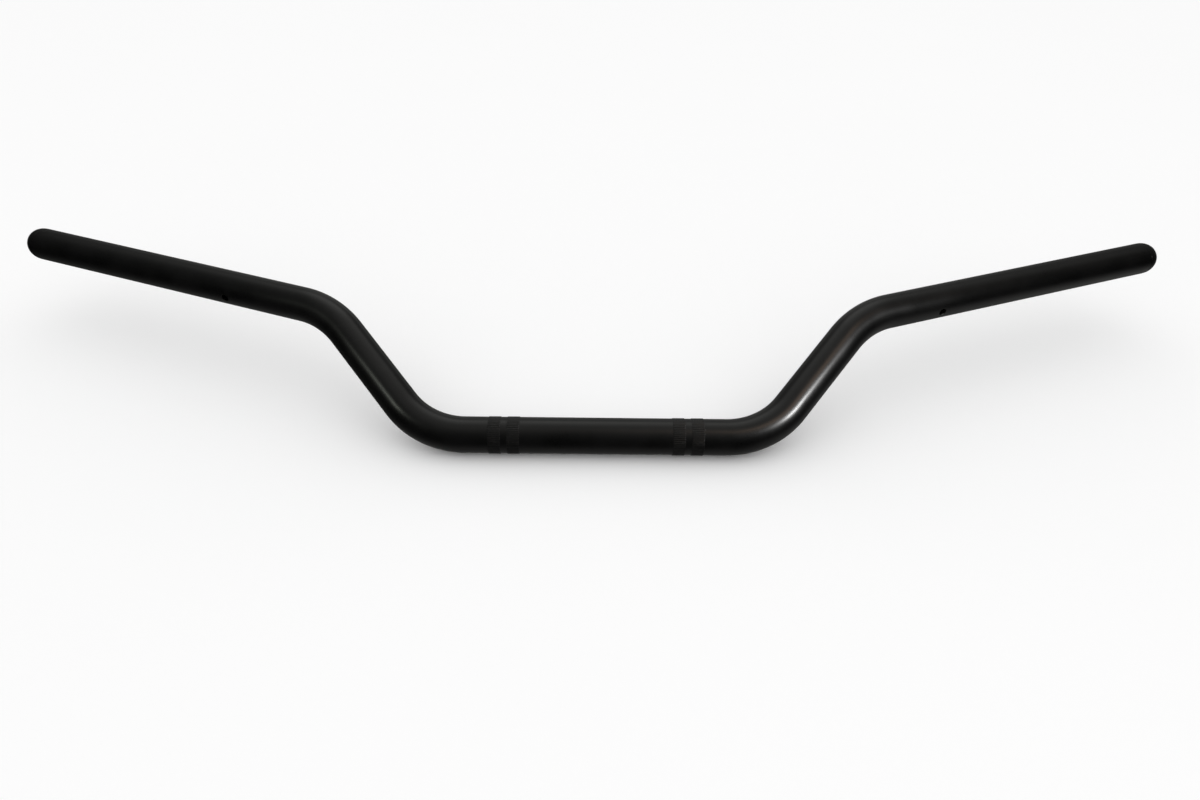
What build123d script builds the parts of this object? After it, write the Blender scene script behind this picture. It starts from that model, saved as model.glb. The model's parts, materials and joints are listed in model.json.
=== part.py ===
from build123d import *
import math
import os

# Motorcycle handlebar: one bent steel tube with four knurled clamp bands, two switch-housing
# locating holes, and a domed expanding plug in each end. Millimetres, +Z up.
# The origin is on the tube's axis at the middle of the clamp section. +X runs along that section,
# -Y is the front of the motorcycle, and the grips rise and sweep back towards +Y.
# Seen by the rider the throttle grip is on the -X side and the clutch grip on the +X side.

# ---------------------------------------------------------------- tube
tube_radius = 11.1  # 22.2 mm (7/8 inch) handlebar tube
tube_wall = 2.0
bore_radius = tube_radius - tube_wall
tube_edge_break = 0.3

# Centreline corners of one half, before the corners are bent to a radius.
inner_corner_x = 104.0
outer_corner_x = 171.0
setback = 71.0  # how far the arm goes back between its corners
rise = 44.0  # how far the arm goes up between its corners
grip_sweep = 21.5  # degrees back from the clamp section's line
grip_length = 240.0  # from the outer corner to the tube's end
inner_bend_radius = 52.0
outer_bend_radius = 65.0

# ---------------------------------------------------------------- knurled clamp bands
clamp_spacing = 111.0  # between the middles of the two pairs of bands
band_width = 7.4
band_gap = 4.0  # smooth stretch between the two bands of a pair
knurl_crest_radius = tube_radius + 0.25
knurl_root_radius = tube_radius + 0.03
knurl_teeth = 60
knurl_turn = 1.5  # degrees from straight ahead to the first groove
knurl_groove_share = 0.55  # of the pitch, measured at the crest

# ---------------------------------------------------------------- switch-housing locating holes
switch_hole_radius = 2.5
switch_hole_dip = 9.0  # degrees below straight ahead
switch_hole_inset = {"throttle": 166.0, "clutch": 184.0}  # from the tube's end

# ---------------------------------------------------------------- end plugs (each lies along its grip)
cap_radius = 11.05
cap_lip = 0.5  # straight edge under the dome
spigot_radius = 9.0
spigot_length = 10.0
counterbore_radius = 5.75
counterbore_floor = 1.8  # out from the tube's end
rim_round = 0.4
spigot_chamfer = 0.6
clearance_hole_radius = 3.3

washer_outer_radius = 5.5
washer_inner_radius = 3.2
washer_thickness = 1.6

screw_radius = 3.0  # M6
screw_length = 50.0
screw_head_radius = 5.0
screw_head_height = 6.0
screw_head_chamfer = 0.5
screw_tip_chamfer = 0.8
hex_across_flats = 5.0
hex_depth = 3.0

rubber_radius = 8.9
rubber_length = 22.0
rubber_mouth_depth = 8.0
rubber_cone_gap = 0.25

nut_cone_small_radius = 4.6
nut_cone_large_radius = 7.6
nut_cone_length = 9.0
nut_flange_radius = 8.6
nut_flange_thickness = 4.0
nut_bore_radius = 3.05
nut_start = 25.0  # how far in from the tube's end its small end lies
key_radius = 6.9
key_width = 1.8
keyway_radius = 7.2
keyway_width = 2.4

SIDES = {"throttle": -1, "clutch": 1}  # sign of X


def corner(side, x, y, z):
    """A point of one half of the bar."""
    return Vector(SIDES[side] * x, y, z)


def grip_direction(side):
    """Unit vector along a grip, pointing out of the bar."""
    angle = math.radians(grip_sweep)
    return corner(side, math.cos(angle), math.sin(angle), 0)


def tube_end(side):
    """Centre of the tube's open end."""
    outer_corner = corner(side, outer_corner_x, setback, rise)
    return outer_corner + grip_direction(side) * grip_length


def end_plane(side, out=0.0):
    """Plane square to a grip, its normal pointing out, at a distance out from the tube's end."""
    outward = grip_direction(side)
    return Plane(tube_end(side) + outward * out, x_dir=(0, 0, 1), z_dir=outward)


def profile_plane(side):
    """Plane through a grip's axis: local x points out of the bar, local y points up."""
    outward = grip_direction(side)
    return Plane(tube_end(side), x_dir=outward, z_dir=outward.cross(Vector(0, 0, 1)))


def plug_axis(side):
    return Axis(tube_end(side), grip_direction(side))


def save(part, name):
    part.label = name
    export_step(part, f"parts/{name}.step")


def switch_hole_plane(side):
    """Plane on the tube's surface at the switch hole, its normal pointing out of the tube."""
    outward = grip_direction(side)
    ahead = Vector(0, 0, 1).cross(outward) * -SIDES[side]
    dip = math.radians(switch_hole_dip)
    normal = ahead * math.cos(dip) - Vector(0, 0, 1) * math.sin(dip)
    on_axis = tube_end(side) - outward * switch_hole_inset[side]
    return Plane(on_axis + normal * tube_radius, x_dir=outward, z_dir=normal)


def make_bar_tube():
    corners = []
    for side in ("throttle", "clutch"):
        half = [
            tube_end(side),
            corner(side, outer_corner_x, setback, rise),
            corner(side, inner_corner_x, 0, 0),
        ]
        corners += half if side == "throttle" else half[::-1]
    bend_radii = [outer_bend_radius, inner_bend_radius, inner_bend_radius, outer_bend_radius]

    with BuildPart() as bar_tube:
        with BuildLine():
            centreline = FilletPolyline(*corners, radius=bend_radii)
        with BuildSketch(Plane(centreline @ 0, z_dir=centreline % 0)):
            Circle(tube_radius)
            Circle(bore_radius, mode=Mode.SUBTRACT)
        sweep(path=centreline)
        tube_ends = bar_tube.faces().filter_by(GeomType.PLANE)
        chamfer(tube_ends.edges(), tube_edge_break)

        band_offset = (band_gap + band_width) / 2
        for pair_x in (-clamp_spacing / 2, clamp_spacing / 2):
            for band_x in (pair_x - band_offset, pair_x + band_offset):
                with BuildSketch(Plane.YZ.offset(band_x - band_width / 2)):
                    Circle(knurl_crest_radius)
                    Circle(tube_radius - tube_wall / 2, mode=Mode.SUBTRACT)
                    with PolarLocations(knurl_crest_radius, knurl_teeth, start_angle=knurl_turn):
                        knurl_groove()
                extrude(amount=band_width)

        for side in SIDES:
            with Locations(switch_hole_plane(side)):
                Hole(switch_hole_radius, depth=tube_radius)
    save(bar_tube.part, "bar_tube")


def knurl_groove():
    """V groove of the straight knurl, its mouth a little outside the crest so that it cuts clean."""
    pitch = 2 * math.pi * knurl_crest_radius / knurl_teeth
    depth = knurl_crest_radius - knurl_root_radius
    half_mouth = pitch * knurl_groove_share / 2
    Polygon((-depth, 0), (depth, -2 * half_mouth), (depth, 2 * half_mouth), align=None, mode=Mode.SUBTRACT)


def make_end_cap(side):
    rim_x = cap_lip + math.sqrt(cap_radius**2 - counterbore_radius**2)
    with BuildPart() as end_cap:
        with BuildSketch(profile_plane(side)):
            with BuildLine():
                RadiusArc((cap_lip, cap_radius), (rim_x, counterbore_radius), cap_radius)
                Polyline(
                    (rim_x, counterbore_radius),
                    (counterbore_floor, counterbore_radius),
                    (counterbore_floor, clearance_hole_radius),
                    (-spigot_length, clearance_hole_radius),
                    (-spigot_length, spigot_radius),
                    (0, spigot_radius),
                    (0, cap_radius),
                    (cap_lip, cap_radius),
                )
            make_face()
        revolve(axis=plug_axis(side))
        rim = end_cap.edges().filter_by(GeomType.CIRCLE).sort_by(plug_axis(side))[-1]
        fillet(rim, rim_round)
        spigot_tip = end_cap.faces().filter_by(GeomType.PLANE).sort_by(plug_axis(side))[0]
        chamfer(spigot_tip.outer_wire().edges(), spigot_chamfer)
    save(end_cap.part, f"{side}_end_cap")


def make_washer(side):
    with BuildPart() as washer:
        with BuildSketch(end_plane(side, counterbore_floor)):
            Circle(washer_outer_radius)
            Circle(washer_inner_radius, mode=Mode.SUBTRACT)
        extrude(amount=washer_thickness)
    save(washer.part, f"{side}_washer")


def make_cap_screw(side):
    head_seat = counterbore_floor + washer_thickness
    with BuildPart() as cap_screw:
        with BuildSketch(end_plane(side, head_seat)):
            Circle(screw_head_radius)
        extrude(amount=screw_head_height)
        head_top = cap_screw.faces().sort_by(plug_axis(side))[-1]
        chamfer(head_top.edges(), screw_head_chamfer)
        with BuildSketch(end_plane(side, head_seat)):
            Circle(screw_radius)
        extrude(amount=-screw_length)
        tip = cap_screw.faces().sort_by(plug_axis(side))[0]
        chamfer(tip.edges(), screw_tip_chamfer)
        with BuildSketch(end_plane(side, head_seat + screw_head_height)):
            RegularPolygon(hex_across_flats / 2, 6, major_radius=False)
        extrude(amount=-hex_depth, mode=Mode.SUBTRACT)
    save(cap_screw.part, f"{side}_cap_screw")


def make_expander_rubber(side):
    outer_end = -spigot_length
    inner_end = outer_end - rubber_length
    mouth_start = inner_end + rubber_mouth_depth
    taper = (nut_cone_large_radius - nut_cone_small_radius) / nut_cone_length

    def mouth_radius(x):
        return nut_cone_small_radius + taper * (-nut_start - x) + rubber_cone_gap

    with BuildPart() as expander_rubber:
        with BuildSketch(profile_plane(side)):
            Polygon(
                (outer_end, clearance_hole_radius),
                (outer_end, rubber_radius),
                (inner_end, rubber_radius),
                (inner_end, mouth_radius(inner_end)),
                (mouth_start, mouth_radius(mouth_start)),
                (mouth_start, clearance_hole_radius),
                align=None,
            )
        revolve(axis=plug_axis(side))
        with BuildSketch(end_plane(side, inner_end)):
            Rectangle(2 * keyway_radius, keyway_width)
        extrude(amount=rubber_mouth_depth, mode=Mode.SUBTRACT)
    save(expander_rubber.part, f"{side}_expander_rubber")


def make_cone_nut(side):
    cone_end = -nut_start - nut_cone_length
    with BuildPart() as cone_nut:
        with BuildSketch(profile_plane(side)):
            Polygon(
                (-nut_start, 0),
                (-nut_start, nut_cone_small_radius),
                (cone_end, nut_cone_large_radius),
                (cone_end, nut_flange_radius),
                (cone_end - nut_flange_thickness, nut_flange_radius),
                (cone_end - nut_flange_thickness, 0),
                align=None,
            )
        revolve(axis=plug_axis(side))
        with BuildSketch(end_plane(side, cone_end)):
            Rectangle(2 * key_radius, key_width)
        extrude(amount=nut_cone_length)
        with Locations(end_plane(side, -nut_start)):
            Hole(nut_bore_radius)
    save(cone_nut.part, f"{side}_cone_nut")


os.makedirs("parts", exist_ok=True)
make_bar_tube()
for side in SIDES:
    make_end_cap(side)
    make_washer(side)
    make_cap_screw(side)
    make_expander_rubber(side)
    make_cone_nut(side)
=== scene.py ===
import json
import math

import bmesh
import bpy
from mathutils import Matrix, Vector


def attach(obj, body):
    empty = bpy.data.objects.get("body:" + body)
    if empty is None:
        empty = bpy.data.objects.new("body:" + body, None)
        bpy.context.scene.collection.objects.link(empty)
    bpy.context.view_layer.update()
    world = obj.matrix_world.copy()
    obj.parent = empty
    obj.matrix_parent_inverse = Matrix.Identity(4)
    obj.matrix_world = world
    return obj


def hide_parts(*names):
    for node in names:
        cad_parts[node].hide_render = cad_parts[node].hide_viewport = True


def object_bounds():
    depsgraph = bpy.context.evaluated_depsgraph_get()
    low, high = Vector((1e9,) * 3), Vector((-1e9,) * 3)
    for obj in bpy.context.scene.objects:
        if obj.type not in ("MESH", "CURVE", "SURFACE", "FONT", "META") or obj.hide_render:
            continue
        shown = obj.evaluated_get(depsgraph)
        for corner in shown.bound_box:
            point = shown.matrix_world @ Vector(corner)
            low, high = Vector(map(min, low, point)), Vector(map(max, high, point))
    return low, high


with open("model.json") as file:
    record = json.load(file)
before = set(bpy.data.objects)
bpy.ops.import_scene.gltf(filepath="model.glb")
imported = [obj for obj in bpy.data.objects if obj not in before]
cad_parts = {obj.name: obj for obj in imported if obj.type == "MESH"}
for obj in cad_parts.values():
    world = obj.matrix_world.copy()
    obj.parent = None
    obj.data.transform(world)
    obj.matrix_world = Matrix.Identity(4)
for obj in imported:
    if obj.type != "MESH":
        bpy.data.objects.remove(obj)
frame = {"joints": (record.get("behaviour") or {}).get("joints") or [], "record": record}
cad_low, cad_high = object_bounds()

# A bent motorcycle handlebar in satin black powder coat, and the expanding plug in each of its ends.
# Everything is in metres in the CAD frame: +X along the clamp section, -Y the front, +Z up.

MM = 0.001
TAU = 2 * math.pi
SIDES = ("throttle", "clutch")

mounts = {m["name"]: m for m in frame["record"]["mounts"]}
joints = {j["name"]: j for j in frame["joints"]}

# ---------------------------------------------------------------- tube, as the CAD has it
TUBE_RADIUS = mounts["clutch_grip"]["dims"]["r_mm"] * MM
CREST_RADIUS = mounts["riser_clamp_zone"]["dims"]["r_mm"] * MM
WALL = 2.0 * MM
BORE_RADIUS = TUBE_RADIUS - WALL
INNER_CORNER_X = 104 * MM
GRIP_LENGTH = 240 * MM
INNER_BEND_RADIUS = 52 * MM
OUTER_BEND_RADIUS = 65 * MM
CLAMP_SPACING = 111 * MM
BAND_WIDTH = 7.4 * MM
BAND_GAP = 4.0 * MM
TEETH = 60
ROOT_RADIUS = TUBE_RADIUS + 0.03 * MM
BAND_SHOULDER = 0.16 * MM
EDGE_ROUND = 0.3 * MM
HOLE_RADIUS = mounts["clutch_switch_hole"]["dims"]["r_mm"] * MM
HOLE_LIP = 0.3 * MM

# ---------------------------------------------------------------- how finely the tube is divided
PLAIN_SIDES = 120
TOOTH_STEPS = 8
FINE_SIDES = TEETH * TOOTH_STEPS
RUN_STEP = 8 * MM
BEND_STEP = math.radians(2)
FINE_MARGIN = 1.2 * MM
PATCH_CELL = 1.5 * MM
PATCH_CELLS = 4  # each side of the hole, along the tube
PATCH_SPREAD = 10  # sides of the tube, each side of the hole
PATCH_RINGS = 6


def smooth(t):
    t = min(max(t, 0.0), 1.0)
    return t * t * (3 - 2 * t)


# ================================================================ mesh building
class Shell:
    """Vertices and faces of one piece, with a wear value for each vertex and a material for each face."""

    def __init__(self):
        self.points = []
        self.wear = []
        self.faces = []
        self.face_material = []

    def ring(self, points, wear=0.0):
        """Adds a ring of points and returns their indices. wear is one value or one for each point."""
        start = len(self.points)
        self.points += points
        self.wear += wear if isinstance(wear, list) else [wear] * len(points)
        return list(range(start, len(self.points)))

    def face(self, corners, material=0):
        self.faces.append(corners)
        self.face_material.append(material)

    def bridge(self, a, b, material=0, skip=()):
        """Joins two rings. The longer one's count is a multiple of the shorter one's."""
        if len(a) > len(b):
            a, b = b, a
        share = len(b) // len(a)
        for i in range(len(a)):
            if i in skip:
                continue
            j = (i + 1) % len(a)
            far = [b[(i * share + k) % len(b)] for k in range(share + 1)]
            self.face([a[i], a[j]] + far[::-1], material)

    def fan(self, ring, centre, material=0):
        middle = self.ring([centre])[0]
        for i, corner in enumerate(ring):
            self.face([corner, ring[(i + 1) % len(ring)], middle], material)

    def build(self, name, materials, sharp=35):
        used = sorted({v for f in self.faces for v in f})
        renumber = {v: i for i, v in enumerate(used)}
        mesh = bpy.data.meshes.new(name)
        mesh.from_pydata([self.points[v] for v in used], [], [[renumber[v] for v in f] for f in self.faces])
        for material in materials:
            mesh.materials.append(material)
        mesh.polygons.foreach_set("material_index", self.face_material)
        mesh.polygons.foreach_set("use_smooth", [True] * len(mesh.polygons))
        wear = mesh.attributes.new("edge_wear", "FLOAT", "POINT")
        wear.data.foreach_set("value", [self.wear[v] for v in used])
        solid = bmesh.new()
        solid.from_mesh(mesh)
        bmesh.ops.recalc_face_normals(solid, faces=solid.faces)
        solid.to_mesh(mesh)
        solid.free()
        mesh.set_sharp_from_angle(angle=math.radians(sharp))
        piece = bpy.data.objects.new(name, mesh)
        bpy.context.scene.collection.objects.link(piece)
        return piece


class Station:
    """A place on the tube's centreline, with the frame that its cross-section is drawn in."""

    def __init__(self, at, along, side, top):
        self.at, self.along, self.side, self.top = at, along, side, top

    def point(self, angle, radius, ahead=0.0):
        spoke = self.side * math.cos(angle) + self.top * math.sin(angle)
        return self.at + self.along * ahead + spoke * radius

    def angle_of(self, direction):
        return math.atan2(direction.dot(self.top), direction.dot(self.side)) % TAU

    def moved(self, ahead):
        return Station(self.at + self.along * ahead, self.along, self.side, self.top)

    def turned(self, pivot, axis, angle):
        turn = Matrix.Rotation(angle, 3, axis)
        at = pivot + turn @ (self.at - pivot)
        return Station(at, turn @ self.along, turn @ self.side, turn @ self.top)


def plug_station(side):
    """The centre of the tube's open end, looking out of the bar."""
    joint = joints[f"{side}_screw_turn"]
    along = Vector(joint["axis"]).normalized()
    top = Vector((0, 0, 1))
    return Station(Vector(joint["pos_m"]), along, top.cross(along), top)


# ================================================================ the bent tube
def tube_runs():
    """The straight runs and the bends of the centreline, from the throttle end to the clutch end."""
    corners = []
    for side in SIDES:
        end = plug_station(side)
        outer = end.at - end.along * GRIP_LENGTH
        inner = Vector((math.copysign(INNER_CORNER_X, outer.x), 0, 0))
        half = [end.at, outer, inner]
        corners += half if side == "throttle" else half[::-1]
    radii = [OUTER_BEND_RADIUS, INNER_BEND_RADIUS, INNER_BEND_RADIUS, OUTER_BEND_RADIUS]

    along = (corners[1] - corners[0]).normalized()
    side_way = along.cross(Vector((0, 0, 1))).normalized()
    here = Station(corners[0], along, side_way, side_way.cross(along))
    runs = []
    for index, radius in enumerate(radii):
        corner, beyond = corners[index + 1], corners[index + 2]
        next_along = (beyond - corner).normalized()
        turn = here.along.angle(next_along)
        tangent = radius * math.tan(turn / 2)
        length = (corner - here.at).length - tangent
        runs.append(("straight", here, length))
        here = here.moved(length)
        axis = here.along.cross(next_along).normalized()
        pivot = here.at + axis.cross(here.along) * radius
        runs.append(("bend", here, (pivot, axis, turn)))
        here = here.turned(pivot, axis, turn)
    runs.append(("straight", here, (corners[-1] - here.at).length))
    return runs


def tooth_height(tooth):
    """Height of the straight knurl, from 0 in the groove to 1 on the crest, over one pitch."""
    crest, groove = 0.34, 0.14
    distance = abs(tooth - 0.5) * 2
    return 1 - smooth((distance - crest) / (1 - crest - groove))


def knurl_ring(shell, station, share):
    """A ring on a knurled band. share is how far it has risen from the plain tube, 0 to 1."""
    points, wear = [], []
    for step in range(FINE_SIDES):
        height = tooth_height((step % TOOTH_STEPS) / TOOTH_STEPS)
        full = ROOT_RADIUS + (CREST_RADIUS - ROOT_RADIUS) * height
        points.append(station.point(TAU * step / FINE_SIDES, TUBE_RADIUS + (full - TUBE_RADIUS) * share))
        wear.append(height * share)
    return shell.ring(points, wear)


def plain_ring(shell, station, radius, sides=PLAIN_SIDES, wear=0.0):
    return shell.ring([station.point(TAU * i / sides, radius) for i in range(sides)], wear)


def even_steps(start, end, step):
    """Places from start to end, both included, at most step apart."""
    count = max(1, math.ceil((end - start) / step - 1e-6))
    return [start + (end - start) * i / count for i in range(count + 1)]


def band_edges():
    """Where the knurled bands start and end along the clamp section, from its middle."""
    edges = []
    for pair in (-CLAMP_SPACING / 2, CLAMP_SPACING / 2):
        for offset in (-(BAND_GAP + BAND_WIDTH) / 2, (BAND_GAP + BAND_WIDTH) / 2):
            edges.append((pair + offset - BAND_WIDTH / 2, pair + offset + BAND_WIDTH / 2))
    return edges


def clamp_section_rings(shell, start, length):
    """Outer rings of the clamp section, with its four knurled bands."""
    middle = length / 2
    rings = []
    bands = band_edges()
    reach = -middle
    for first, last in ((bands[0], bands[1]), (bands[2], bands[3])):
        fine_start, fine_end = first[0] - FINE_MARGIN, last[1] + FINE_MARGIN
        for x in even_steps(reach, fine_start - FINE_MARGIN, RUN_STEP):
            rings.append(plain_ring(shell, start.moved(middle + x), TUBE_RADIUS))
        rings.append(plain_ring(shell, start.moved(middle + fine_start), TUBE_RADIUS, FINE_SIDES))
        for low, high in (first, last):
            for x, share in (
                (low - BAND_SHOULDER * 0.4, 0.0),
                (low, 0.0),
                (low + BAND_SHOULDER * 0.5, 0.62),
                (low + BAND_SHOULDER, 0.95),
                (low + BAND_SHOULDER * 1.6, 1.0),
                ((low + high) / 2, 1.0),
                (high - BAND_SHOULDER * 1.6, 1.0),
                (high - BAND_SHOULDER, 0.95),
                (high - BAND_SHOULDER * 0.5, 0.62),
                (high, 0.0),
                (high + BAND_SHOULDER * 0.4, 0.0),
            ):
                rings.append(knurl_ring(shell, start.moved(middle + x), share))
        rings.append(plain_ring(shell, start.moved(middle + fine_end), TUBE_RADIUS, FINE_SIDES))
        reach = fine_end + FINE_MARGIN
    for x in even_steps(reach, middle, RUN_STEP):
        rings.append(plain_ring(shell, start.moved(middle + x), TUBE_RADIUS))
    return rings


def hole_patch(shell, start, hole_ahead, hole_angle, rings_out, rings_in, first_side):
    """Fills the square left open round a switch hole, outside and inside, and makes the hole's wall."""
    span = 2 * PATCH_SPREAD
    columns = [(first_side + k) % PLAIN_SIDES for k in range(span + 1)]
    count = len(rings_out)

    def border(rings):
        indices = [rings[0][c] for c in columns]
        indices += [rings[i][columns[-1]] for i in range(1, count)]
        indices += [rings[-1][c] for c in columns[-2::-1]]
        indices += [rings[i][columns[0]] for i in range(count - 2, 0, -1)]
        return indices

    outside, inside = border(rings_out), border(rings_in)

    def place(index, radius):
        offset = shell.points[index] - start.at
        ahead = offset.dot(start.along) - hole_ahead
        turn = (start.angle_of(offset) - hole_angle + math.pi) % TAU - math.pi
        return ahead, turn, math.atan2(math.sin(turn) * radius, ahead)

    def hole_ring(hole_radius, radius, spread=0.0, wear=0.0):
        """A ring round the hole on a cylinder of that radius, eased towards the border by spread."""
        points = []
        for index in outside:
            ahead, turn, around = place(index, TUBE_RADIUS)
            near_ahead = hole_radius * math.cos(around)
            near_turn = math.asin(hole_radius * math.sin(around) / radius)
            points.append(
                start.point(
                    hole_angle + near_turn + (turn - near_turn) * spread,
                    radius,
                    hole_ahead + near_ahead + (ahead - near_ahead) * spread,
                )
            )
        return shell.ring(points, wear)

    lip_steps = 5
    last = outside
    for k in range(PATCH_RINGS - 1, -1, -1):
        spread = (k / PATCH_RINGS) ** 1.3
        ring = hole_ring(HOLE_RADIUS + HOLE_LIP, TUBE_RADIUS, spread)
        shell.bridge(last, ring)
        last = ring
    for k in range(1, lip_steps + 1):
        turn = math.pi / 2 * k / lip_steps
        ring = hole_ring(
            HOLE_RADIUS + HOLE_LIP * (1 - math.sin(turn)),
            TUBE_RADIUS - HOLE_LIP * (1 - math.cos(turn)),
            wear=0.8 * math.sin(turn * 2),
        )
        shell.bridge(last, ring)
        last = ring
    for radius in (TUBE_RADIUS - WALL / 2, BORE_RADIUS + HOLE_LIP / 2):
        ring = hole_ring(HOLE_RADIUS, radius)
        shell.bridge(last, ring)
        last = ring
    for k in range(PATCH_RINGS):
        ring = hole_ring(HOLE_RADIUS + HOLE_LIP / 2, BORE_RADIUS, (k / PATCH_RINGS) ** 1.3)
        shell.bridge(last, ring, 1 if k else 0)
        last = ring
    shell.bridge(last, inside, 1)


def grip_rings(shell, start, length, side):
    """Rings of a grip's straight run, outside and inside, and where its switch hole is left open."""
    hole = mounts[f"{side}_switch_hole"]
    hole_axis = Vector(hole["axis"])
    hole_ahead = (Vector(hole["pos_m"]) - start.at).dot(start.along)
    hole_angle = start.angle_of(hole_axis)
    half_patch = PATCH_CELL * PATCH_CELLS
    ends = {"throttle": (EDGE_ROUND, length), "clutch": (0.0, length - EDGE_ROUND)}[side]
    places = even_steps(ends[0], hole_ahead - half_patch, RUN_STEP)
    patch_start = len(places) - 1
    places += even_steps(hole_ahead - half_patch, hole_ahead + half_patch, PATCH_CELL)[1:]
    patch_end = len(places) - 1
    places += even_steps(hole_ahead + half_patch, ends[1], RUN_STEP)[1:]
    outer = [plain_ring(shell, start.moved(x), TUBE_RADIUS) for x in places]
    inner = [plain_ring(shell, start.moved(x), BORE_RADIUS) for x in places]
    first_side = round(hole_angle / TAU * PLAIN_SIDES) - PATCH_SPREAD
    skip = {(first_side + k) % PLAIN_SIDES for k in range(2 * PATCH_SPREAD)}
    for i in range(len(places) - 1):
        open_here = skip if patch_start <= i < patch_end else ()
        shell.bridge(outer[i], outer[i + 1], 0, open_here)
        shell.bridge(inner[i], inner[i + 1], 1, open_here)
    patch = slice(patch_start, patch_end + 1)
    hole_patch(shell, start, hole_ahead, hole_angle, outer[patch], inner[patch], first_side)
    return outer, inner


def tube_mouth(shell, end, outer_ring, inner_ring):
    """The tube's cut end, with its edges rounded over."""
    steps = 4
    last = outer_ring
    for k in range(1, steps + 1):
        turn = math.pi / 2 * k / steps
        radius = TUBE_RADIUS - EDGE_ROUND * (1 - math.cos(turn))
        inset = EDGE_ROUND * (1 - math.sin(turn))
        ring = plain_ring(shell, end.moved(-inset), radius, wear=math.sin(turn))
        shell.bridge(last, ring)
        last = ring
    for k in range(steps):
        turn = math.pi / 2 * k / steps
        radius = BORE_RADIUS + EDGE_ROUND * (1 - math.sin(turn))
        inset = EDGE_ROUND * (1 - math.cos(turn))
        ring = plain_ring(shell, end.moved(-inset), radius, wear=1 - math.sin(turn))
        shell.bridge(last, ring, 0 if k == 0 else 1)
        last = ring
    shell.bridge(last, inner_ring, 1)


def make_bar_tube(coat, bore_steel):
    """The whole bent tube, outside and bore, as one closed shell."""
    shell = Shell()
    runs = tube_runs()
    last_outer = last_inner = None
    ends = {}
    for index, (kind, start, facts) in enumerate(runs):
        if kind == "bend":
            pivot, axis, turn = facts
            stations = [start.turned(pivot, axis, angle) for angle in even_steps(0, turn, BEND_STEP)]
            outer = [plain_ring(shell, s, TUBE_RADIUS) for s in stations[1:-1]]
            inner = [plain_ring(shell, s, BORE_RADIUS) for s in stations[1:-1]]
        elif index in (0, len(runs) - 1):
            side = SIDES[0] if index == 0 else SIDES[1]
            outer, inner = grip_rings(shell, start, facts, side)
            ends[side] = (outer[0], inner[0]) if index == 0 else (outer[-1], inner[-1])
        elif index == len(runs) // 2:
            outer = clamp_section_rings(shell, start, facts)
            inner = [plain_ring(shell, start.moved(x), BORE_RADIUS) for x in even_steps(0, facts, RUN_STEP)]
        else:
            stations = [start.moved(x) for x in even_steps(0, facts, RUN_STEP)]
            outer = [plain_ring(shell, s, TUBE_RADIUS) for s in stations]
            inner = [plain_ring(shell, s, BORE_RADIUS) for s in stations]
        if last_outer is not None:
            shell.bridge(last_outer, outer[0])
            shell.bridge(last_inner, inner[0], 1)
        if index not in (0, len(runs) - 1):
            for a, b in zip(outer, outer[1:]):
                shell.bridge(a, b)
            for a, b in zip(inner, inner[1:]):
                shell.bridge(a, b, 1)
        last_outer, last_inner = outer[-1], inner[-1]

    first, last = runs[0][1], runs[-1][1].moved(runs[-1][2])
    back = Station(first.at, -first.along, first.side, first.top)
    tube_mouth(shell, back, *ends["throttle"])
    tube_mouth(shell, last, *ends["clutch"])
    piece = shell.build("handlebar_tube", [coat, bore_steel])
    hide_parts("bar_tube")
    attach(piece, "bar")


# ================================================================ turned pieces of the end plugs
def rounded(corners, steps=5):
    """An outline of (x, radius, rounding) corners with each corner rounded, as (x, radius, wear) points."""
    out = []
    for index, (x, r, rounding) in enumerate(corners):
        here = Vector((x, r))
        if rounding == 0 or index in (0, len(corners) - 1):
            out.append((x, r, 0.0))
            continue
        before = (Vector(corners[index - 1][:2]) - here).normalized()
        after = (Vector(corners[index + 1][:2]) - here).normalized()
        half = before.angle(after) / 2
        centre = here + (before + after).normalized() * rounding / math.sin(half)
        start = here + before * rounding / math.tan(half)
        end = here + after * rounding / math.tan(half)
        a, b = start - centre, end - centre
        for k in range(steps + 1):
            spoke = a.slerp(b, k / steps) * rounding
            out.append((centre.x + spoke.x, centre.y + spoke.y, math.sin(math.pi * k / steps)))
    return out


def even_angles(count):
    return [TAU * i / count for i in range(count)]


def lathe(shell, station, outline, angles, radius_at=None, material=0, closed=False):
    """Turns an outline of (x, radius, wear) points. radius_at(x, radius, angle) may change a radius."""
    rings = []
    for x, r, wear in outline:
        radii = [radius_at(x, r, a) if radius_at else r for a in angles]
        rings.append(shell.ring([station.point(a, radius, x) for a, radius in zip(angles, radii)], wear))
    for a, b in zip(rings, rings[1:] + ([rings[0]] if closed else [])):
        shell.bridge(a, b, material)
    return rings


def mm_outline(corners):
    return rounded([(x * MM, r * MM, f * MM) for x, r, f in corners])


def finish_piece(shell, name, material, side, node, body, sharp=35):
    piece = shell.build(f"{side}_{name}", [material], sharp)
    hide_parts(f"{side}_{node}")
    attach(piece, f"{side}_{body}")


# Sizes of the plug's pieces in millimetres, as the CAD has them. Places along the plug are measured
# outwards from the tube's end.
CAP_RADIUS = 11.05
CAP_LIP = 0.5
SPIGOT_RADIUS = 9.0
SPIGOT_LENGTH = 10.0
COUNTERBORE_RADIUS = 5.75
COUNTERBORE_FLOOR = 1.8
RIM_ROUND = 0.4
CLEARANCE_RADIUS = 3.3
WASHER_RADIUS = 5.5
WASHER_HOLE = 3.2
WASHER_THICKNESS = 1.6
HEAD_SEAT = COUNTERBORE_FLOOR + WASHER_THICKNESS
HEAD_RADIUS = 5.0
HEAD_HEIGHT = 6.0
SCREW_RADIUS = 3.0
SCREW_LENGTH = 50.0
THREAD_LENGTH = 24.0
THREAD_PITCH = 1.0
THREAD_DEPTH = 0.54
HEX_ACROSS_FLATS = 5.0
HEX_DEPTH = 3.0
RUBBER_RADIUS = 8.9
RUBBER_LENGTH = 22.0
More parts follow.
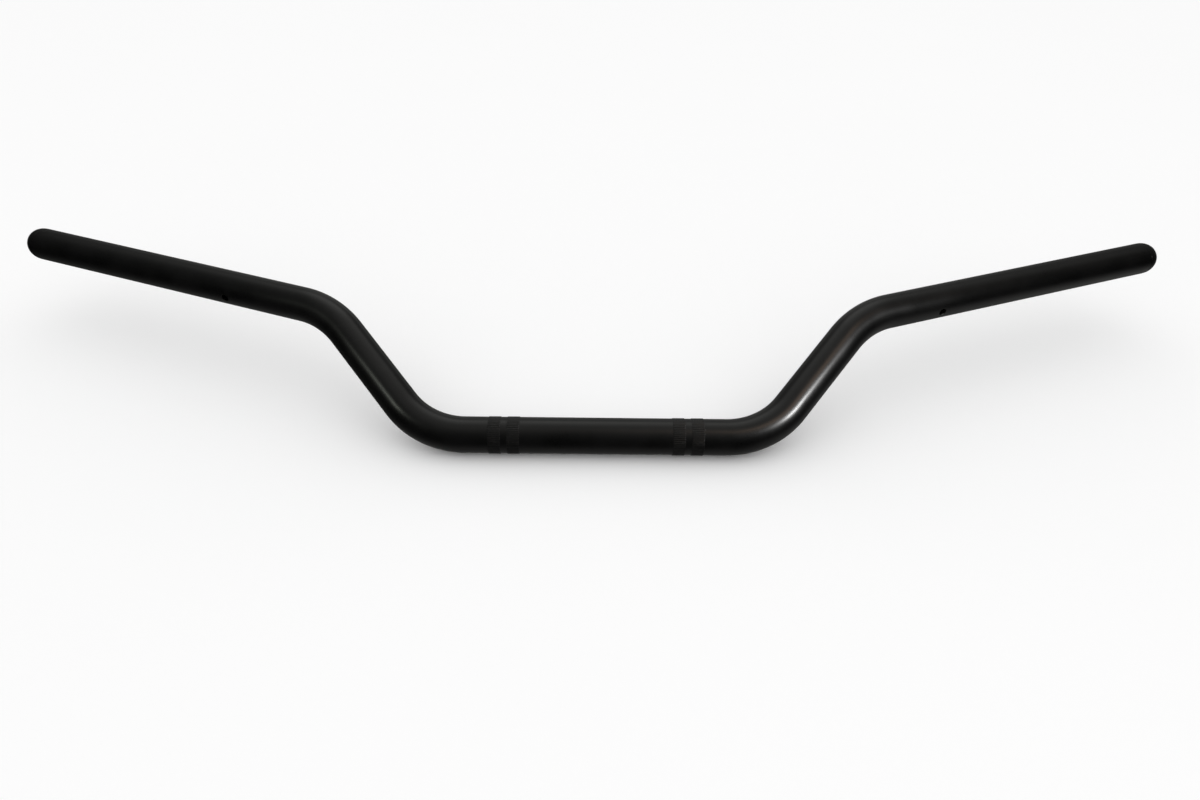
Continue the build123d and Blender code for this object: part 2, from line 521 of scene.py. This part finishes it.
MOUTH_DEPTH = 8.0
NUT_START = 25.0
NUT_CONE_LENGTH = 9.0
NUT_SMALL_RADIUS = 4.6
NUT_LARGE_RADIUS = 7.6
NUT_FLANGE_RADIUS = 8.6
NUT_FLANGE = 4.0
NUT_BORE_RADIUS = 3.05
CONE_GAP = 0.25
KEY_RADIUS = 6.9
KEY_WIDTH = 1.8
KEYWAY_RADIUS = 7.2
KEYWAY_WIDTH = 2.4


def make_end_cap(side, coated_alloy):
    """The domed head with its sunk screw seat, and the spigot that fits the bore."""
    station = plug_station(side)
    rim_angle = math.acos(COUNTERBORE_RADIUS / CAP_RADIUS)
    rim_x = CAP_LIP + CAP_RADIUS * math.sin(rim_angle)
    dome_steps = 40
    round_share = RIM_ROUND / CAP_RADIUS
    dome = []
    for k in range(1, dome_steps + 1):
        turn = (rim_angle - round_share) * k / dome_steps
        dome.append(((CAP_LIP + CAP_RADIUS * math.sin(turn)) * MM, CAP_RADIUS * math.cos(turn) * MM, 0.0))
    foot = mm_outline(
        [
            (-SPIGOT_LENGTH / 2, SPIGOT_RADIUS, 0),
            (0, SPIGOT_RADIUS, 0.15),
            (0, CAP_RADIUS, 0.15),
            (CAP_LIP, CAP_RADIUS, 0),
        ]
    )
    inside = mm_outline(
        [
            (rim_x - RIM_ROUND, COUNTERBORE_RADIUS, 0),
            (COUNTERBORE_FLOOR, COUNTERBORE_RADIUS, 0.3),
            (COUNTERBORE_FLOOR, CLEARANCE_RADIUS, 0.2),
            (-SPIGOT_LENGTH, CLEARANCE_RADIUS, 0.3),
            (-SPIGOT_LENGTH, SPIGOT_RADIUS, 0.6),
            (-SPIGOT_LENGTH / 2, SPIGOT_RADIUS, 0),
        ]
    )
    rim = []
    start, end = Vector(dome[-1][:2]), Vector(inside[0][:2])
    corner = Vector((rim_x * MM, COUNTERBORE_RADIUS * MM))
    for k in range(1, 6):
        t = k / 6
        at = start * (1 - t) ** 2 + corner * 2 * t * (1 - t) + end * t * t
        rim.append((at.x, at.y, 1.0))
    shell = Shell()
    lathe(shell, station, foot + dome + rim + inside[:-1], even_angles(128), closed=True)
    finish_piece(shell, "plug_cap", coated_alloy, side, "end_cap", "plug")


def make_washer(side, zinc):
    station = plug_station(side)
    low, high = COUNTERBORE_FLOOR, COUNTERBORE_FLOOR + WASHER_THICKNESS
    outline = mm_outline(
        [
            ((low + high) / 2, WASHER_RADIUS, 0),
            (high, WASHER_RADIUS, 0.35),
            (high, WASHER_HOLE, 0.15),
            (low, WASHER_HOLE, 0.25),
            (low, WASHER_RADIUS, 0.12),
            ((low + high) / 2, WASHER_RADIUS, 0),
        ]
    )
    shell = Shell()
    lathe(shell, station, outline[:-1], even_angles(96), closed=True)
    finish_piece(shell, "plug_washer", zinc, side, "washer", "plug")


def thread_radius(x_mm, angle, crest):
    """Radius of a right-hand M6 thread at a place along the plug, in millimetres."""
    phase = (x_mm / THREAD_PITCH - angle / TAU) % 1.0
    tooth = 1 - abs(phase - 0.5) * 2
    return crest - THREAD_DEPTH * (1 - smooth((tooth - 0.12) / 0.76))


def hexagon(angle, half_flat):
    """Radius of a hexagon at an angle."""
    return half_flat / math.cos((angle % (TAU / 6)) - TAU / 12)


def socket_rings(shell, station, top, angles):
    """The hexagon socket in a screw head, from its round lead-in to its coned floor."""
    half_flat = HEX_ACROSS_FLATS / 2
    rings = []
    for x, size, share in (
        (top, half_flat + 0.35, 0.0),
        (top - 0.35, half_flat + 0.04, 1.0),
        (top - HEX_DEPTH + 0.3, half_flat, 1.0),
        (top - HEX_DEPTH, half_flat - 0.15, 1.0),
    ):
        points = []
        for a in angles:
            radius = hexagon(a, size) * share + size * 1.12 * (1 - share)
            points.append(station.point(a, radius * MM, x * MM))
        rings.append(shell.ring(points, 0.6 if x == top else 0.0))
    for a, b in zip(rings, rings[1:]):
        shell.bridge(a, b)
    shell.fan(rings[-1], station.point(0, 0, (top - HEX_DEPTH - 0.9) * MM))
    return rings


def thread_rings(shell, station, last, start, tip, angles):
    """The screw's rolled thread, from a ring on its plain shank to its tip, and the tip's face."""
    steps = 10
    for k in range(int((THREAD_LENGTH + 1.0) * steps / THREAD_PITCH) + 1):
        x = start + 1.0 - k * THREAD_PITCH / steps
        runout = smooth((start + 1.0 - x) / 1.5)
        taper = 0.7 * smooth((tip + 1.0 - x) / 1.0)
        points = []
        for a in angles:
            cut = (SCREW_RADIUS - thread_radius(x, a, SCREW_RADIUS)) * runout
            radius = min(SCREW_RADIUS - cut, SCREW_RADIUS - taper)
            points.append(station.point(a, radius * MM, x * MM))
        ring = shell.ring(points, 0.15)
        shell.bridge(last, ring)
        last = ring
    shell.fan(last, station.point(0, 0, tip * MM))


def make_cap_screw(side, oxide):
    """M6 socket-head screw: a knurled head with a hexagon socket, a plain shank and a rolled thread."""
    station = plug_station(side)
    top = HEAD_SEAT + HEAD_HEIGHT
    tip = HEAD_SEAT - SCREW_LENGTH
    thread_start = tip + THREAD_LENGTH
    angles = even_angles(96)
    ridges, ridge_depth = 48, 0.14 * MM

    def head_radius(x, r, a):
        knurled = HEAD_SEAT + 0.7 < x / MM < top - 0.9 and r / MM > HEAD_RADIUS - 0.3
        ridge = 0.5 - 0.5 * math.cos(ridges * a)
        return r - (ridge_depth * ridge if knurled else 0.0)

    shell = Shell()
    socket = socket_rings(shell, station, top, angles)
    side_steps = [top - 0.85] + [top - 0.95 - 0.4 * k for k in range(11)]
    outline = mm_outline([(top, 3.2, 0), (top, HEAD_RADIUS, 0.5), (top - 0.8, HEAD_RADIUS, 0)])
    outline += [(x * MM, HEAD_RADIUS * MM, 0.3) for x in side_steps]
    outline += mm_outline(
        [
            (HEAD_SEAT + 0.6, HEAD_RADIUS, 0),
            (HEAD_SEAT, HEAD_RADIUS, 0.2),
            (HEAD_SEAT, SCREW_RADIUS, 0.2),
            (thread_start + 1.5, SCREW_RADIUS, 0),
        ]
    )
    head = lathe(shell, station, outline, angles, head_radius)
    shell.bridge(socket[0], head[0])
    thread_rings(shell, station, head[-1], thread_start, tip, angles)
    finish_piece(shell, "plug_screw", oxide, side, "cap_screw", "screw", 50)


def key_angles():
    """Angles all round, closer together where the two keys are."""
    angles = set(even_angles(96))
    for middle in (0, math.pi):
        for k in range(-36, 37):
            angles.add((middle + math.radians(0.5 * k)) % TAU)
    out = []
    for a in sorted(angles):
        if not out or a - out[-1] > 1e-4:
            out.append(a)
    return out


def key_radius(angle, half_width, reach):
    """Radius of a flat key that crosses the axis, along the station's top direction."""
    across, up = abs(math.cos(angle)), abs(math.sin(angle))
    return min(half_width / max(across, 1e-9), reach / max(up, 1e-9))


def make_expander_rubber(side, rubber):
    """Grooved rubber sleeve with a coned mouth and two keyways."""
    station = plug_station(side)
    outer_end = -SPIGOT_LENGTH
    inner_end = outer_end - RUBBER_LENGTH
    mouth_start = inner_end + MOUTH_DEPTH
    taper = (NUT_LARGE_RADIUS - NUT_SMALL_RADIUS) / NUT_CONE_LENGTH

    def mouth(x):
        return NUT_SMALL_RADIUS + taper * (-NUT_START - x) + CONE_GAP

    corners = [(outer_end, CLEARANCE_RADIUS, 0.3), (outer_end, RUBBER_RADIUS, 0.5)]
    groove, groove_depth = 1.0, 0.45
    for k in range(5):
        x = outer_end - 3.2 - 3.6 * k
        corners += [
            (x, RUBBER_RADIUS, 0.2),
            (x - 0.3, RUBBER_RADIUS - groove_depth, 0.2),
            (x - groove, RUBBER_RADIUS - groove_depth, 0.2),
            (x - groove - 0.3, RUBBER_RADIUS, 0.2),
        ]
    corners += [
        (inner_end, RUBBER_RADIUS, 0.4),
        (inner_end, mouth(inner_end), 0.15),
        (mouth_start, mouth(mouth_start), 0.15),
        (mouth_start, CLEARANCE_RADIUS, 0.15),
    ]
    middle = (outer_end + mouth_start) / 2
    outline = mm_outline([(middle, CLEARANCE_RADIUS, 0)] + corners + [(middle, CLEARANCE_RADIUS, 0)])

    def radius_at(x, r, a):
        turned = a + math.pi / 2
        in_mouth = x / MM < mouth_start - 0.02 and r / MM < KEYWAY_RADIUS + 0.1
        if in_mouth:
            return max(r, key_radius(turned, KEYWAY_WIDTH / 2, KEYWAY_RADIUS) * MM)
        return r

    shell = Shell()
    lathe(shell, station, outline[:-1], key_angles(), radius_at, closed=True)
    finish_piece(shell, "plug_rubber", rubber, side, "expander_rubber", "plug", 50)


def make_cone_nut(side, zinc):
    """Cone nut with two keys that stop it turning in the rubber, and a threaded bore."""
    station = plug_station(side)
    cone_end = -NUT_START - NUT_CONE_LENGTH
    back = cone_end - NUT_FLANGE
    outline = mm_outline(
        [
            (-NUT_START, NUT_BORE_RADIUS + 0.4, 0),
            (-NUT_START, NUT_SMALL_RADIUS, 0.2),
            (cone_end, NUT_LARGE_RADIUS, 0.12),
            (cone_end, NUT_FLANGE_RADIUS, 0.3),
            (back, NUT_FLANGE_RADIUS, 0.5),
            (back, NUT_BORE_RADIUS + 0.4, 0),
        ]
    )

    def radius_at(x, r, a):
        turned = a + math.pi / 2
        on_cone = cone_end < x / MM < -NUT_START + 0.001 and r / MM > NUT_BORE_RADIUS + 0.5
        if on_cone:
            return max(r, key_radius(turned, KEY_WIDTH / 2, KEY_RADIUS) * MM)
        return r

    angles = key_angles()
    shell = Shell()
    rings = lathe(shell, station, outline, angles, radius_at)
    last = rings[0]
    steps = 8
    length = NUT_CONE_LENGTH + NUT_FLANGE
    for k in range(int(length * steps) + 1):
        x = -NUT_START - length * k / int(length * steps)
        open_mouth = max(smooth(1 - (-NUT_START - x) / 0.5), smooth(1 - (x - back) / 0.5))
        points = []
        for a in angles:
            radius = thread_radius(x, a, NUT_BORE_RADIUS + 0.05)
            radius += (NUT_BORE_RADIUS + 0.3 - radius) * open_mouth
            points.append(station.point(a, radius * MM, x * MM))
        ring = shell.ring(points, 0.2)
        shell.bridge(last, ring)
        last = ring
    shell.bridge(last, rings[-1])
    finish_piece(shell, "plug_nut", zinc, side, "cone_nut", "nut", 50)


# ================================================================ materials
class Material:
    """A node material on the object's own coordinates, in metres."""

    def __init__(self, name):
        self.material = bpy.data.materials.new(name)
        self.material.use_nodes = True
        self.nodes = self.material.node_tree.nodes
        self.links = self.material.node_tree.links
        self.shader = self.nodes["Principled BSDF"]
        self.place = self.nodes.new("ShaderNodeTexCoord").outputs["Object"]

    def join(self, output, node, socket):
        self.links.new(output, node.inputs[socket])

    def noise(self, scale, detail):
        node = self.nodes.new("ShaderNodeTexNoise")
        node.inputs["Scale"].default_value = scale
        node.inputs["Detail"].default_value = detail
        node.inputs["Roughness"].default_value = 0.55
        self.join(self.place, node, "Vector")
        return node.outputs["Fac"]

    def specks(self, scale, size):
        """1 inside sparse specks, 0 elsewhere."""
        node = self.nodes.new("ShaderNodeTexVoronoi")
        node.inputs["Scale"].default_value = scale
        self.join(self.place, node, "Vector")
        return self.ramp(node.outputs["Distance"], (size * 0.4, size), (1.0, 0.0))

    def ramp(self, value, span, levels):
        node = self.nodes.new("ShaderNodeMapRange")
        node.interpolation_type = "SMOOTHSTEP"
        node.inputs["From Min"].default_value, node.inputs["From Max"].default_value = span
        node.inputs["To Min"].default_value, node.inputs["To Max"].default_value = levels
        self.join(value, node, "Value")
        return node.outputs["Result"]

    def math(self, operation, a, b):
        node = self.nodes.new("ShaderNodeMath")
        node.operation = operation
        for index, value in enumerate((a, b)):
            if isinstance(value, (int, float)):
                node.inputs[index].default_value = value
            else:
                self.links.new(value, node.inputs[index])
        return node.outputs["Value"]

    def mix(self, share, a, b):
        node = self.nodes.new("ShaderNodeMix")
        node.data_type = "RGBA"
        self.links.new(share, node.inputs[0])
        for index, colour in ((6, a), (7, b)):
            if isinstance(colour, tuple):
                node.inputs[index].default_value = (*colour, 1.0)
            else:
                self.links.new(colour, node.inputs[index])
        return node.outputs[2]

    def wear(self):
        node = self.nodes.new("ShaderNodeAttribute")
        node.attribute_name = "edge_wear"
        return node.outputs["Fac"]

    def bump(self, layers):
        """Bump from (height, strength, distance in metres) layers."""
        normal = None
        for height, strength, distance in layers:
            node = self.nodes.new("ShaderNodeBump")
            node.inputs["Strength"].default_value = strength
            node.inputs["Distance"].default_value = distance
            self.links.new(height, node.inputs["Height"])
            if normal is not None:
                self.links.new(normal, node.inputs["Normal"])
            normal = node.outputs["Normal"]
        self.join(normal, self.shader, "Normal")

    def constants(self, **values):
        for name, value in values.items():
            self.shader.inputs[name.replace("_", " ")].default_value = value


def powder_coat(name, dark, light, rough):
    """Satin black coating with a fine grain, a slow orange peel, stray dust and thin, rubbed edges."""
    m = Material(name)
    m.constants(Metallic=0.0, IOR=1.5)
    cloud = m.noise(55.0, 3.0)
    colour = m.mix(m.ramp(cloud, (0.35, 0.7), (0.0, 1.0)), dark, light)
    rubbed = m.math("MULTIPLY", m.wear(), m.ramp(m.noise(900.0, 3.0), (0.5, 0.75), (0.0, 0.5)))
    colour = m.mix(rubbed, colour, (0.03, 0.029, 0.027))
    dust = m.specks(420.0, 0.04)
    colour = m.mix(m.math("MULTIPLY", dust, 0.2), colour, (0.07, 0.067, 0.062))
    m.join(colour, m.shader, "Base Color")
    grain = m.noise(2600.0, 2.0)
    slow = m.ramp(cloud, (0.3, 0.7), (rough - 0.02, rough + 0.02))
    m.join(m.math("ADD", slow, m.ramp(grain, (0.35, 0.65), (-0.02, 0.03))), m.shader, "Roughness")
    peel = m.noise(520.0, 2.0)
    m.bump([(peel, 0.22, 0.00006), (grain, 0.4, 0.000015)])
    return m.material


def bare_steel():
    """Uncoated bore: drawn steel with an oily bloom and a little rust."""
    m = Material("bare_steel_bore")
    m.constants(Metallic=1.0)
    stain = m.noise(90.0, 4.0)
    colour = m.mix(m.ramp(stain, (0.42, 0.7), (0.0, 1.0)), (0.16, 0.15, 0.14), (0.11, 0.065, 0.04))
    m.join(colour, m.shader, "Base Color")
    m.join(m.ramp(stain, (0.3, 0.7), (0.42, 0.7)), m.shader, "Roughness")
    m.bump([(m.noise(1500.0, 3.0), 0.4, 0.00003)])
    return m.material


def zinc_plate():
    """Dull grey plating, a little brighter where its edges are rubbed."""
    m = Material("zinc_plate")
    m.constants(Metallic=1.0)
    cloud = m.noise(700.0, 3.0)
    colour = m.mix(m.ramp(cloud, (0.35, 0.7), (0.0, 1.0)), (0.62, 0.62, 0.6), (0.5, 0.5, 0.49))
    rubbed = m.math("MULTIPLY", m.wear(), 0.45)
    colour = m.mix(rubbed, colour, (0.72, 0.71, 0.69))
    m.join(colour, m.shader, "Base Color")
    m.join(m.ramp(cloud, (0.3, 0.7), (0.26, 0.42)), m.shader, "Roughness")
    m.bump([(m.noise(3200.0, 3.0), 0.35, 0.00001), (cloud, 0.2, 0.00003)])
    return m.material


def black_oxide():
    """Chemically blackened steel with its edges worn towards bare metal."""
    m = Material("black_oxide")
    m.constants(Metallic=1.0)
    cloud = m.noise(800.0, 3.0)
    colour = m.mix(m.ramp(cloud, (0.35, 0.7), (0.0, 1.0)), (0.035, 0.035, 0.038), (0.06, 0.06, 0.064))
    rubbed = m.math("MULTIPLY", m.wear(), m.ramp(m.noise(2200.0, 2.0), (0.4, 0.7), (0.1, 0.7)))
    colour = m.mix(rubbed, colour, (0.22, 0.22, 0.22))
    m.join(colour, m.shader, "Base Color")
    m.join(m.ramp(cloud, (0.3, 0.7), (0.3, 0.46)), m.shader, "Roughness")
    m.bump([(m.noise(3600.0, 2.0), 0.4, 0.000012)])
    return m.material


def moulded_rubber():
    """Matt black rubber with a pale, dusty bloom."""
    m = Material("moulded_rubber")
    m.constants(Metallic=0.0, IOR=1.5)
    bloom = m.noise(260.0, 4.0)
    dusted = m.ramp(bloom, (0.4, 0.75), (0.0, 1.0))
    colour = m.mix(dusted, (0.014, 0.014, 0.014), (0.035, 0.034, 0.032))
    m.join(colour, m.shader, "Base Color")
    m.join(m.ramp(bloom, (0.3, 0.7), (0.62, 0.82)), m.shader, "Roughness")
    m.bump([(m.noise(2400.0, 3.0), 0.5, 0.00003)])
    return m.material


def pale_floor():
    m = Material("pale_floor")
    m.constants(Metallic=0.0, Roughness=0.85)
    m.shader.inputs["Specular IOR Level"].default_value = 0.1
    cloud = m.noise(3.0, 2.0)
    m.join(m.mix(cloud, (0.975, 0.975, 0.975), (0.985, 0.985, 0.985)), m.shader, "Base Color")
    return m.material


# ================================================================ studio
def make_floor():
    """A plain floor that the bar stands on, wide enough for its edge to be far off from any angle."""
    size = 25.0
    depth = cad_low.z
    mesh = bpy.data.meshes.new("studio_floor")
    corners = [(-size, -size, depth), (size, -size, depth), (size, size, depth), (-size, size, depth)]
    mesh.from_pydata(corners, [], [(0, 1, 2, 3)])
    mesh.materials.append(pale_floor())
    floor = bpy.data.objects.new("studio_floor", mesh)
    floor.visible_glossy = False  # the studio below is as dim in reflections as the one in front
    bpy.context.scene.collection.objects.link(floor)


# Brightness of the studio in reflections, as (place, brightness) stops. The place is the X, Y or Z of the
# direction that is reflected. FRONT goes by Z. The windows behind are a level by Z (height) times one
# by Y (depth) times one by X (width). The paler lower right is a level by Z times one by X.
FRONT = (
    (-1.0, 0.14),
    (-0.88, 0.17),
    (-0.6, 0.045),
    (-0.28, 0.006),
    (0.05, 0.01),
    (0.36, 0.03),
    (0.62, 0.065),
    (0.83, 0.15),
    (0.96, 0.3),
    (1.0, 0.38),
)
BEHIND_HEIGHT = (
    (-0.1, 0.2),
    (0.14, 0.3),
    (0.38, 0.3),
    (0.48, 0.16),
    (0.6, 0.35),
    (0.66, 0.95),
    (0.75, 1.0),
    (0.91, 0.85),
    (1.0, 0.8),
)
BEHIND_DEPTH = (
    (-0.02, 0.0),
    (0.05, 0.12),
    (0.15, 0.4),
    (0.26, 0.62),
    (0.4, 0.75),
    (0.6, 0.92),
    (0.75, 1.0),
)
WINDOW_WIDTH = (
    (-0.7, 0.24),
    (-0.5, 0.34),
    (-0.2, 0.95),
    (0.0, 1.0),
    (0.2, 0.95),
    (0.5, 0.36),
    (0.7, 0.4),
)
RIGHT_HEIGHT = ((-0.85, 0.2), (-0.68, 1.0), (-0.55, 0.9), (-0.42, 0.5), (-0.2, 0.0))
RIGHT_WIDTH = ((0.4, 0.0), (0.75, 0.18), (1.0, 0.2))


def make_world():
    """An even white surround that lights the floor and the object, and a dim, shaped one in reflections."""
    world = bpy.data.worlds.new("studio")
    bpy.context.scene.world = world
    world.use_nodes = True
    world.cycles.sampling_method = "NONE"
    nodes, links = world.node_tree.nodes, world.node_tree.links
    place = nodes.new("ShaderNodeTexCoord")
    split = nodes.new("ShaderNodeSeparateXYZ")
    links.new(place.outputs["Generated"], split.inputs[0])

    def graph(axis, stops):
        node = nodes.new("ShaderNodeFloatCurve")
        curve = node.mapping.curves[0]
        shift = nodes.new("ShaderNodeMath")
        shift.operation = "MULTIPLY_ADD"
        shift.inputs[1].default_value = shift.inputs[2].default_value = 0.5
        links.new(split.outputs[axis], shift.inputs[0])
        links.new(shift.outputs[0], node.inputs["Value"])
        low, high = stops[0], stops[-1]
        curve.points[0].location = ((low[0] + 1) / 2, low[1])
        curve.points[1].location = ((high[0] + 1) / 2, high[1])
        for at, level in stops[1:-1]:
            curve.points.new((at + 1) / 2, level)
        for point in curve.points:
            point.handle_type = "VECTOR"
        node.mapping.extend = "HORIZONTAL"
        node.mapping.update()
        return node.outputs[0]

    def combine(operation, a, b):
        node = nodes.new("ShaderNodeMath")
        node.operation = operation
        links.new(a, node.inputs[0])
        links.new(b, node.inputs[1])
        return node.outputs[0]

    behind = combine("MULTIPLY", graph("Z", BEHIND_HEIGHT), graph("Y", BEHIND_DEPTH))
    behind = combine("MULTIPLY", behind, graph("X", WINDOW_WIDTH))
    right = combine("MULTIPLY", graph("Z", RIGHT_HEIGHT), graph("X", RIGHT_WIDTH))
    level = combine("ADD", combine("MAXIMUM", graph("Z", FRONT), behind), right)
    surround = nodes["Background"]
    surround.inputs["Color"].default_value = (1, 1, 1, 1)
    surround.inputs["Strength"].default_value = 1.0
    mirrored = nodes.new("ShaderNodeBackground")
    mirrored.inputs["Color"].default_value = (1.0, 1.0, 0.97, 1)
    links.new(level, mirrored.inputs["Strength"])
    path = nodes.new("ShaderNodeLightPath")
    pick = nodes.new("ShaderNodeMixShader")
    links.new(path.outputs["Is Glossy Ray"], pick.inputs["Fac"])
    links.new(surround.outputs["Background"], pick.inputs[1])
    links.new(mirrored.outputs["Background"], pick.inputs[2])
    links.new(pick.outputs["Shader"], nodes["World Output"].inputs["Surface"])


def soft_light(name, azimuth, elevation, distance, width, height, power, colour=(1, 1, 1)):
    """A lamp for highlights that faces the bar. Azimuth is from the front (-Y) towards +X, in degrees."""
    a, e = math.radians(azimuth), math.radians(elevation)
    way = Vector((math.sin(a) * math.cos(e), -math.cos(a) * math.cos(e), math.sin(e)))
    light = bpy.data.lights.new(name, "AREA")
    light.shape = "RECTANGLE"
    light.size, light.size_y = width, height
    light.energy = power
    light.color = colour
    lamp = bpy.data.objects.new(name, light)
    lamp.location = way * distance
    lamp.rotation_euler = way.to_track_quat("Z", "Y").to_euler()
    lamp.visible_diffuse = False
    lamp.visible_camera = False
    bpy.context.scene.collection.objects.link(lamp)


def make_lights():
    soft_light("right_key", 68, 30, 0.4, 0.035, 0.035, 0.88)
    soft_light("right_warm", 58, 60, 1.6, 0.5, 0.5, 1.6, (1.0, 0.7, 0.5))
    soft_light("left_key", -71, 28, 0.42, 0.06, 0.06, 0.07, (0.95, 1.0, 0.88))


def make_camera():
    """A wide lens close by, in front of the bar and above it, as the object is seen."""
    data = bpy.data.cameras.new("camera")
    data.sensor_width = 36.0
    data.lens = 27.0
    data.clip_start, data.clip_end = 0.01, 100.0
    camera = bpy.data.objects.new("camera", data)
    camera.location = Vector((-5.2, -429.4, 339.4)) * MM
    look = Vector((0.0135, 0.8086, -0.5882)).normalized()
    upward = Vector((-0.0110, 0.5883, 0.8085))
    right = look.cross(upward).normalized()
    upward = right.cross(look)
    turn = Matrix((right, upward, -look)).transposed()
    camera.rotation_euler = turn.to_euler()
    bpy.context.scene.collection.objects.link(camera)
    bpy.context.scene.camera = camera
    bpy.context.scene.view_settings.view_transform = "Standard"


def main():
    make_camera()
    tube_coat = powder_coat("black_powder_coat", (0.0017, 0.0017, 0.0016), (0.0031, 0.003, 0.0029), 0.31)
    cap_coat = powder_coat("black_cap_coat", (0.0018, 0.0018, 0.0017), (0.0032, 0.0032, 0.0031), 0.32)
    zinc, oxide, rubber = zinc_plate(), black_oxide(), moulded_rubber()
    make_bar_tube(tube_coat, bare_steel())
    for side in SIDES:
        make_end_cap(side, cap_coat)
        make_washer(side, zinc)
        make_cap_screw(side, oxide)
        make_expander_rubber(side, rubber)
        make_cone_nut(side, zinc)
    make_floor()
    make_world()
    make_lights()


main()
